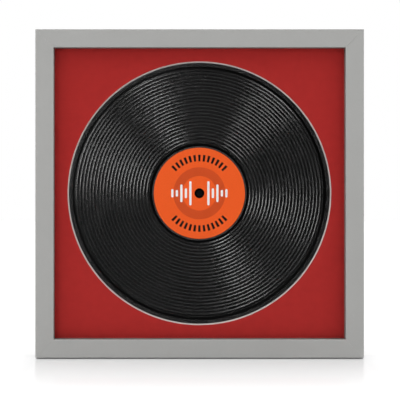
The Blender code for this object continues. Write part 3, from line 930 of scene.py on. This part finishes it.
def dome(radius, height, corner):
    """Down a pan head, from the middle of its top to its underside."""
    crown = radius - 2 * corner
    rise = CROWN_SHARE * height
    bend = (crown * crown + rise * rise) / (2 * rise)
    swing = math.degrees(math.asin(crown / bend))
    top = arc(0, height - bend, bend, 90, 90 - swing, HEAD_STEPS)
    bend_y = height - rise - 2 * corner
    side = arc(crown, bend_y, 2 * corner, HEAD_CORNER_START, 0, HEAD_STEPS)
    return top + side + [(radius, SKIRT_SHARE * height), (radius - SKIRT_LEAN, 0)]


def cross_cutter():
    """Four arms that taper to the recess's bottom."""
    shape = bmesh.new()
    for quarter in range(2):
        made = bmesh.ops.create_cube(shape, size=1)["verts"]
        turn = Matrix.Rotation(quarter * math.pi / 2, 4, "Z")
        for vert in made:
            top = vert.co.z > 0
            vert.co.x *= 2 * RECESS_HALF * (1.0 if top else RECESS_TIP_LENGTH_SHARE)
            vert.co.y *= RECESS_WIDTH * (1.0 if top else RECESS_TIP_WIDTH_SHARE)
            vert.co.z = HEAD_HEIGHT + (RECESS_ABOVE if top else -RECESS_DEPTH)
            vert.co = turn @ vert.co
    return mesh_of(shape, "recess")


def screw_mesh():
    """A turned head and shank with the cross cut out of the head."""
    head = dome(HEAD_RADIUS, HEAD_HEIGHT, HEAD_CORNER)
    shank = [(SCREW_RADIUS, 0), (SCREW_RADIUS, SCREW_POINT - SCREW_LENGTH), (0, -SCREW_LENGTH)]
    blank = spun("screw", head + shank, SCREW_TURN_STEPS, closed=False)
    cutter = in_scene("recess", cross_cutter())
    cut = {"operation": "DIFFERENCE", "object": cutter, "solver": "EXACT", "use_self": True}
    mesh = baked(blank, ("BOOLEAN", cut))
    bpy.data.objects.remove(cutter)
    return mesh


# %% Place the screws
def make_screws():
    """The ten screws, each with its cross at another angle."""
    mesh = screw_mesh()
    names = [name for name in frame["nodes"] if "screw" in name]
    for number, name in enumerate(sorted(names)):
        _, high, middle = span(name)
        at = Matrix.Translation((middle.x, high.y - HEAD_HEIGHT, middle.z)) @ FACE_BACK
        # A driver leaves each cross at its own angle.
        at = at @ Matrix.Rotation(SCREW_TURN * number, 4, "Z")
        screw = stand_in(mesh.copy(), name, at, "zinc_steel", zinc_steel)
    print("Screws:", len(names), "faces each:", len(screw.data.polygons))


make_screws()

# %% [markdown]
# ## D rings
# Each ring is bent from round wire: a straight bar inside the strap's eye, two tight corners
# and a bow that takes the hook. A curve with a round bevel is wire, so the bend is drawn once.

# %% Bend the wire
WIRE_RADIUS = 1.0 * MM
RING_CORNER = 2.5 * MM
BOW_STEPS = 40
CORNER_STEPS = 10
WIRE_ROUNDNESS = 6


def make_ring(side, inwards):
    """A D of wire whose straight bar lies on the joint's axis. inwards is 1 where that is +X."""
    name = f"hanger_ring_{side}"
    low, high, middle = span(name)
    half = (high.z - low.z) / 2 - WIRE_RADIUS
    reach = high.x - low.x - 2 * WIRE_RADIUS
    bow = arc(reach - half, 0, half, 90, -90, BOW_STEPS)
    upper = arc(RING_CORNER, half - RING_CORNER, RING_CORNER, 180, 90, CORNER_STEPS)
    lower = arc(RING_CORNER, RING_CORNER - half, RING_CORNER, 270, 180, CORNER_STEPS)
    wire = bpy.data.curves.new(name, "CURVE")
    wire.dimensions = "3D"
    wire.bevel_depth = WIRE_RADIUS
    wire.bevel_resolution = WIRE_ROUNDNESS
    closed_line(wire, upper + bow + lower)
    hinge_x = (low.x if inwards > 0 else high.x) + inwards * WIRE_RADIUS
    turn = Matrix.Rotation(0 if inwards > 0 else math.pi, 4, "Y")
    at = Matrix.Translation((hinge_x, middle.y, middle.z)) @ turn @ FACE_FRONT
    stand_in(baked(wire), name, at, "zinc_steel", zinc_steel)
    print(f"{name}: {(high.z - low.z) / MM:.0f} mm wide")


make_ring("left", 1)
make_ring("right", -1)

# %% [markdown]
# ## Straps
# A strap is a strip folded double around the ring's bar. Seen from the side it is a flat tongue
# that swells into an eye. That side view is drawn once and kept only where its plan covers it,
# which gives the round end about the screw in one cut.

# %% Fold a strap
STRAP_REACH = 8 * MM
STRAP_THICKNESS = 1.2 * MM
EYE_RADIUS = 2.3 * MM
EYE_BORE_RADIUS = 1.3 * MM
FOLD_ANGLE = 150
FOLD_STEPS = 40
BORE_STEPS = 32
PLAN_STEPS = 24
STRAP_HOLE_PLAY = 0.2 * MM
STRIP_SPARE = 4 * MM
PLAN_SPARE = 1 * MM
HAIRLINE_ROUND = 0.01 * MM


def make_strap(side, inwards):
    """A side view pushed out to a wide strip, then cut to the outline of its plan."""
    name = f"hanger_strap_{side}"
    low, high, middle = span(name)
    width = high.z - low.z
    fold = arc(STRAP_REACH, EYE_RADIUS, EYE_RADIUS, -90, FOLD_ANGLE, FOLD_STEPS)
    leave_x, leave_y = fold[-1]
    meet_x = leave_x - (leave_y - STRAP_THICKNESS) / math.tan(math.radians(FOLD_ANGLE + 90))
    end = -width
    side_view = fold + [(meet_x, STRAP_THICKNESS), (end, STRAP_THICKNESS), (end, 0)]
    bore = arc(STRAP_REACH, EYE_RADIUS, EYE_BORE_RADIUS, 0, 360, BORE_STEPS)[:-1]
    strip = plate(name, [side_view, bore], width + STRIP_SPARE, HAIRLINE_ROUND)
    plan_end = STRAP_REACH + 2 * EYE_RADIUS
    half = width / 2
    beyond = half + PLAN_SPARE
    plan = arc(0, 0, half, 90, 270, PLAN_STEPS) + [(plan_end, -beyond), (plan_end, beyond)]
    hole = arc(0, 0, SCREW_RADIUS + STRAP_HOLE_PLAY, 0, 360, PLAN_STEPS)[:-1]
    cover = plate("plan", [plan, hole], 4 * EYE_RADIUS, HAIRLINE_ROUND)
    cutter = in_scene("plan", cover)
    cutter.matrix_world = FACE_FRONT
    cut = {"operation": "INTERSECT", "object": cutter, "solver": "EXACT"}
    soften = {"width": STAMPED_EDGE / 2, "segments": 2, "limit_method": "ANGLE"}
    mesh = baked(strip, ("BOOLEAN", cut), ("BEVEL", soften))
    bpy.data.objects.remove(cutter)
    screw_x = (low.x if inwards > 0 else high.x) + inwards * half
    turn = Matrix.Rotation(0 if inwards > 0 else math.pi, 4, "Y")
    at = Matrix.Translation((screw_x, low.y, middle.z)) @ turn
    stand_in(mesh, name, at, "zinc_steel", zinc_steel)
    print(f"{name}: {len(mesh.polygons)} faces")


make_strap("left", 1)
make_strap("right", -1)

# %% [markdown]
# ## Bumpers
# Two low rubber cones keep the frame's foot off the wall. They are turned, with a rounded
# shoulder and a shallow dish in the top, where the mould's pin pressed.

# %% Turn the bumpers
SHOULDER_ROUND = 0.8 * MM
SHOULDER_END = 12
SHOULDER_STEPS = 7
FACE_SHARE = 0.78
DISH_DEPTH = 0.25 * MM
DISH_FLOOR_SHARE = 0.45
DISH_RIM_SHARE = 0.6
BUMPER_TURN_STEPS = 48


def make_bumper(side):
    """A low cone with a rounded shoulder and a dished top, facing the wall."""
    name = f"wall_bumper_{side}"
    low, high, middle = span(name)
    foot = (high.x - low.x) / 2
    height = high.y - low.y
    face = FACE_SHARE * foot
    dish_y = height - DISH_DEPTH
    top = [(0, dish_y), (DISH_FLOOR_SHARE * face, dish_y), (DISH_RIM_SHARE * face, height)]
    bend_x, bend_y = face - SHOULDER_ROUND, height - SHOULDER_ROUND
    corner = arc(bend_x, bend_y, SHOULDER_ROUND, 90, SHOULDER_END, SHOULDER_STEPS)
    mesh = spun(name, top + corner + [(foot, 0), (0, 0)], BUMPER_TURN_STEPS, closed=False)
    at = Matrix.Translation((middle.x, low.y, middle.z)) @ FACE_BACK
    stand_in(mesh, name, at, "bumper_rubber", black_rubber)
    print(f"{name}: {height / MM:.1f} mm high")


make_bumper("left")
make_bumper("right")

# %% [markdown]
# ## The stage
# The frame stands on a white floor that fades into a white backdrop. Rays that come straight
# from the camera see plain white, and rays that a glossy surface sends to the back see it too.
# The room in front is dark, as a studio is behind the photographer, so black stays black. The
# soft light that falls on dull surfaces comes mostly from the sides, with less from behind and
# none from straight in front, which shades the recess beside its walls. The room isn't sampled
# as a lamp is, since that would pass by the switch for glossy rays and lay a haze on the vinyl.

# %% Light of the room
# Each ramp below runs between two values of the way towards the backdrop: -1 is straight at the
# photographer, 0 is sideways and 1 is straight at the backdrop.
ROOM_DARK = 0.01
ROOM_GREY = 0.03
DARK_TO_GREY = (-0.93, -0.75)
GREY_TO_WHITE = (-0.45, -0.15)
SOFT_FROM_FRONT = (-0.75, -0.2)
SOFT_TO_BACK = (-0.1, 0.2)
SOFT_BEHIND_SHARE = 0.3
# This one runs between two heights of the way, -1 straight down and 1 straight up.
AMBIENT_RISE = (-0.6, 0.8)
AMBIENT_LOW = 2.6
AMBIENT_HIGH = 3.1


def make_room():
    """A world with one light for glossy rays, one for dull surfaces and white for the camera."""
    world = bpy.data.worlds.new("studio")
    world.use_nodes = True
    tree = world.node_tree
    path = node(tree, "LightPath")
    way = node(tree, "TexCoord").outputs["Generated"]
    towards = node(tree, "SeparateXYZ", way)
    depth = towards.outputs[1]
    glossy = node(tree, "MapRange", depth, *DARK_TO_GREY, ROOM_DARK, ROOM_GREY)
    white = node(tree, "MapRange", depth, *GREY_TO_WHITE, 0.0, 1.0)
    glossy = node(tree, "Math.MAXIMUM", glossy, white)
    soft = node(tree, "MapRange", towards.outputs[2], *AMBIENT_RISE, AMBIENT_LOW, AMBIENT_HIGH)
    rise = node(tree, "MapRange", depth, *SOFT_FROM_FRONT, 0.0, 1.0)
    soft = node(tree, "Math.MULTIPLY", soft, rise)
    fade = node(tree, "MapRange", depth, *SOFT_TO_BACK, 1.0, SOFT_BEHIND_SHARE)
    soft = node(tree, "Math.MULTIPLY", soft, fade)
    lit = node(tree, "Mix", {0: path.outputs["Is Glossy Ray"], 2: soft, 3: glossy}).outputs[0]
    straight, through = path.outputs["Is Camera Ray"], path.outputs["Is Transmission Ray"]
    seen = node(tree, "Math.MAXIMUM", straight, through)
    strength = node(tree, "Mix", {0: seen, 2: lit, 3: 1.0}).outputs[0]
    fill(tree, tree.nodes["Background"], {"Strength": strength, "Color": (1, 1, 1, 1)})
    world.cycles.sampling_method = "NONE"
    bpy.context.scene.world = world
    print("Room:", world.name, "soft light", AMBIENT_LOW, "to", AMBIENT_HIGH)


make_room()

# %% [markdown]
# ## The floor
# The floor is white too. It keeps a little of the frame's shadow, and lies a little below the
# foot, which leaves a dark line there. A pale mirror image of the foot fades out forwards, as
# on glossy white acrylic. Behind the frame and at its sides it ends within a few centimetres.
# A glossy ray meets white floor behind the frame and dark floor in front of it.

# %% White floor with a fading mirror
FLOOR_HALF = 3.0
FLOOR_GAP = 1.3 * MM
MIRROR_SHARE = 0.42
MIRROR_REACH = 0.14
MIRROR_SIDE = 0.03
MIRROR_ROUGHNESS = 0.04
FLOOR_ROUGHNESS = 0.6
GLOW = 0.69
GLOW_SHARE = 0.6
GLOW_UNDER_FOOT = 0.1
WHITE_BEHIND = 0.9


def make_floor():
    """A big white plane: a glow that keeps it white, a shadow and a mirror that fades."""
    bpy.ops.mesh.primitive_plane_add(size=2 * FLOOR_HALF, location=(0, 0, -FLOOR_GAP))
    floor = bpy.context.object
    floor.name = "floor"
    material, tree, shader = new_material("white_acrylic_floor", Roughness=FLOOR_ROUGHNESS)
    shader.inputs["Base Color"].default_value = swatch("DCDCDC")
    path = node(tree, "LightPath")
    x, y, _ = own_axes(tree)
    # The glow stops where the frame stands, so the line under its foot stays dark.
    under = node(tree, "Math.GREATER_THAN", y, face_y)
    under = node(tree, "Math.MULTIPLY", under, node(tree, "Math.LESS_THAN", y, back_y))
    beside = node(tree, "Math.GREATER_THAN", node(tree, "Math.ABSOLUTE", x), half_outer)
    open_floor = node(tree, "Math.MAXIMUM", beside, node(tree, "Math.SUBTRACT", 1.0, under))
    open_floor = node(tree, "Math.MAXIMUM", open_floor, GLOW_UNDER_FOOT)
    glow = node(tree, "Emission", {"Strength": node(tree, "Math.MULTIPLY", open_floor, GLOW)})
    dimmed = node(tree, "MixShader", GLOW_SHARE, shader)
    lit = node(tree, "AddShader", dimmed, glow)
    before = node(tree, "MapRange", y, face_y - MIRROR_REACH, face_y, 0, MIRROR_SHARE)
    within = node(tree, "MapRange", y, back_y, back_y + MIRROR_SIDE, 1, 0)
    aside = node(tree, "Math.SUBTRACT", node(tree, "Math.ABSOLUTE", x), half_outer)
    fade = node(tree, "MapRange", aside, 0, MIRROR_SIDE, 1, 0)
    within = node(tree, "Math.MULTIPLY", within, fade)
    share = node(tree, "Math.MULTIPLY", before, within)
    mirror = node(tree, "BsdfGlossy", {"Roughness": MIRROR_ROUGHNESS})
    shown = node(tree, "MixShader", share, lit, mirror)
    # Gloss at the back of the frame finds a white floor there, and the record finds a dark one.
    behind = node(tree, "Math.GREATER_THAN", y, face_y)
    brightness = node(tree, "MapRange", behind, 0, 1, ROOM_GREY, WHITE_BEHIND)
    unseen = node(tree, "Emission", {"Strength": brightness})
    glossy, straight = path.outputs["Is Glossy Ray"], path.outputs["Is Camera Ray"]
    felt = node(tree, "MixShader", glossy, shader, unseen)
    final = node(tree, "MixShader", straight, felt, shown)
    fill(tree, tree.nodes["Material Output"], {"Surface": final})
    floor.data.materials.append(material)
    print("Floor:", material.name, f"{FLOOR_GAP / MM:.1f} mm under the foot")


make_floor()

# %% [markdown]
# ## Lamps
# Soft boxes stand in front of the frame, well off its axis, so that the glazing mirrors none
# of them to the camera. Each draws a fan of light on the record, in the direction in which it
# stands. A flank mirrors a lamp to the eye when it faces halfway between the two. The two far
# boxes, top and left, are seen from the record at a smaller angle to its axis. So flanks on its
# opposite side are steep enough to mirror them too, and a second fan shows there. The two near
# ones would need steeper flanks there, and draw only one. A fan is as wide as the box looks
# from the record, and a deeper box gives each line more width.

# %% Soft boxes
# Direction seen from the front in degrees anticlockwise from the right, distance off the axis,
# distance in front, width around the axis and depth towards it, all in metres, and power in
# watts
SOFT_BOXES = {
    "upper_right": (49, 0.75, 0.80, 0.30, 0.28, 0.75),
    "top": (114, 1.36, 2.61, 0.38, 0.62, 4.7),
    "upper_left": (152, 0.75, 0.80, 0.30, 0.28, 0.52),
    "left": (170, 1.38, 2.60, 0.52, 0.62, 5.1),
}


def make_lamps():
    """Area lamps, each turned to the middle of the record."""
    for name, (degrees, off_axis, ahead, width, depth, power) in SOFT_BOXES.items():
        angle = math.radians(degrees)
        lamp = bpy.data.lights.new("soft_box_" + name, "AREA")
        lamp.shape = "RECTANGLE"
        lamp.size = width
        lamp.size_y = depth
        lamp.energy = power
        box = in_scene(lamp.name, lamp)
        outward = Vector((math.cos(angle), 0, math.sin(angle)))
        spot = disc_middle + off_axis * outward + Vector((0, -ahead, 0))
        aim = (disc_middle - spot).normalized()
        along = Vector((-math.sin(angle), 0, math.cos(angle)))
        side = along.cross(aim)
        turn = Matrix((along, side, -aim)).transposed().to_4x4()
        box.matrix_world = Matrix.Translation(spot) @ turn
    print("Soft boxes:", len(SOFT_BOXES))


make_lamps()

# %% [markdown]
# ## Camera
# The photograph is taken square on from about a metre away, a little left of the middle and
# above it: the right and lower walls of the frame show more than the left and upper ones. The
# picture is framed by a small lens shift, so the frame's sides stay parallel to the image.

# %% Camera
CAMERA_DISTANCE = 1.0
CAMERA_LEFT = 0.023
CAMERA_UP = 0.020
SENSOR_WIDTH = 36
PICTURE_PIXELS = 400
FRAME_MIDDLE_PIXELS = (199.65, 193.49)
FRAME_WIDTH_PIXELS = 328.9


def make_camera():
    """A lens and shift that put the frame's middle and width where the photograph has them."""
    camera = bpy.data.cameras.new("camera")
    view_width = 2 * half_outer * PICTURE_PIXELS / FRAME_WIDTH_PIXELS
    camera.sensor_width = SENSOR_WIDTH
    camera.lens = camera.sensor_width * CAMERA_DISTANCE / view_width
    metres_per_pixel = view_width / PICTURE_PIXELS
    right_by = CAMERA_LEFT - (FRAME_MIDDLE_PIXELS[0] - PICTURE_PIXELS / 2) * metres_per_pixel
    up_by = -CAMERA_UP + (FRAME_MIDDLE_PIXELS[1] - PICTURE_PIXELS / 2) * metres_per_pixel
    camera.shift_x = right_by / view_width
    camera.shift_y = up_by / view_width
    seer = in_scene("camera", camera)
    seer.location = (centre_x - CAMERA_LEFT, face_y - CAMERA_DISTANCE, centre_z + CAMERA_UP)
    seer.rotation_euler = (math.pi / 2, 0, 0)
    bpy.context.scene.camera = seer
    print(f"Lens {camera.lens:.0f} mm, shift {camera.shift_x:.3f} {camera.shift_y:.3f}")


make_camera()
bpy.context.scene.view_settings.view_transform = "Standard"
